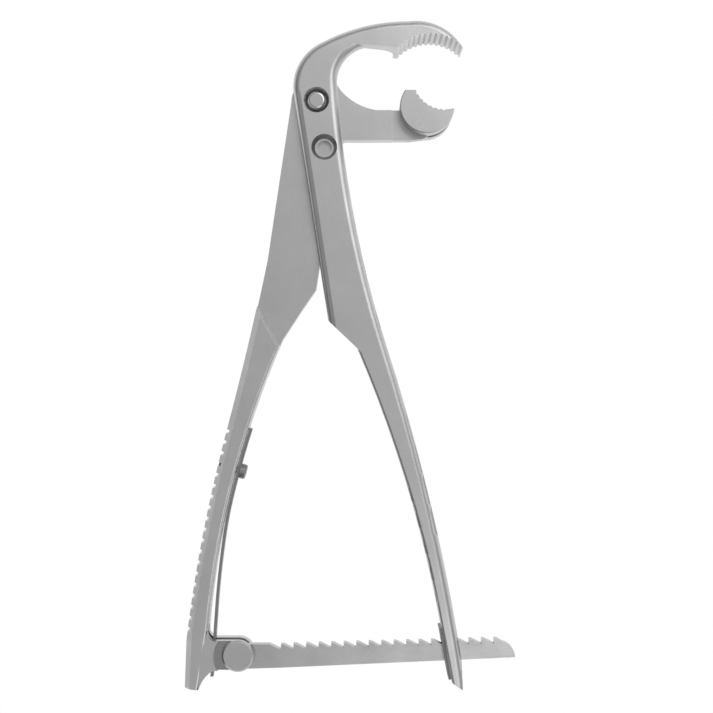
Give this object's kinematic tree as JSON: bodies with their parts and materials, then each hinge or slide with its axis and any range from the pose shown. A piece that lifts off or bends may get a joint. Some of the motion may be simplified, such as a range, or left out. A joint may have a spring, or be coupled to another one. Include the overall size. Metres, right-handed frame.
{
  "type": "bone holding forceps",
  "caption": "Crossed-arm bone holding forceps with a deep toothed jaw, a small swivelling jaw and a hinged saw-toothed ratchet bar across the handles.",
  "frame": {"origin": "under the middle of the whole instrument, on the plane that both jaws' back faces lie on", "axes": "+Y along the instrument towards the jaws, +X towards the moving handle and the free end of the ratchet bar, +Z out of the front face"},
  "size_m": [0.133, 0.2686, 0.018],
  "materials": {
    "arm_steel": "satin, fine brushed along the arms",
    "jaw_steel": "satin",
    "bar_steel": "satin, brushed along the bar",
    "screw_steel": "turned, half bright",
    "spring_steel": "dull grey",
    "catch_steel": "dark, hardened"
  },
  "bodies": {
    "rear_arm": {"rear_arm": "arm_steel", "pivot_screw": "screw_steel", "bar_hinge_screw": "screw_steel", "leaf_spring": "spring_steel", "spring_screw": "screw_steel"},
    "front_arm": {"front_arm": "arm_steel", "catch_plate": "catch_steel"},
    "ratchet_bar": {"ratchet_bar": "bar_steel"},
    "swivel_jaw": {"swivel_jaw": "jaw_steel", "swivel_pin": "screw_steel"}
  },
  "joints": [
    {"name": "arm_pivot", "type": "hinge", "parent": "rear_arm", "child": "front_arm", "pos_m": [-0.0135, 0.10218, 0.012], "axis": [0, 0, 1], "range_deg": [-17, 6]},
    {"name": "bar_swing", "type": "hinge", "parent": "rear_arm", "child": "ratchet_bar", "pos_m": [-0.0451, -0.12062, 0.01197], "axis": [0, 0, 1], "range_deg": [-8.2, 3]},
    {"name": "jaw_swivel", "type": "hinge", "parent": "rear_arm", "child": "swivel_jaw", "pos_m": [0.0279, 0.09238, 0.00895], "axis": [0, 0, 1], "range_deg": [-20, 20]}
  ],
  "couplings": [
    {"joint": "bar_swing", "follows": "arm_pivot", "ratio": 0.47}
  ]
}
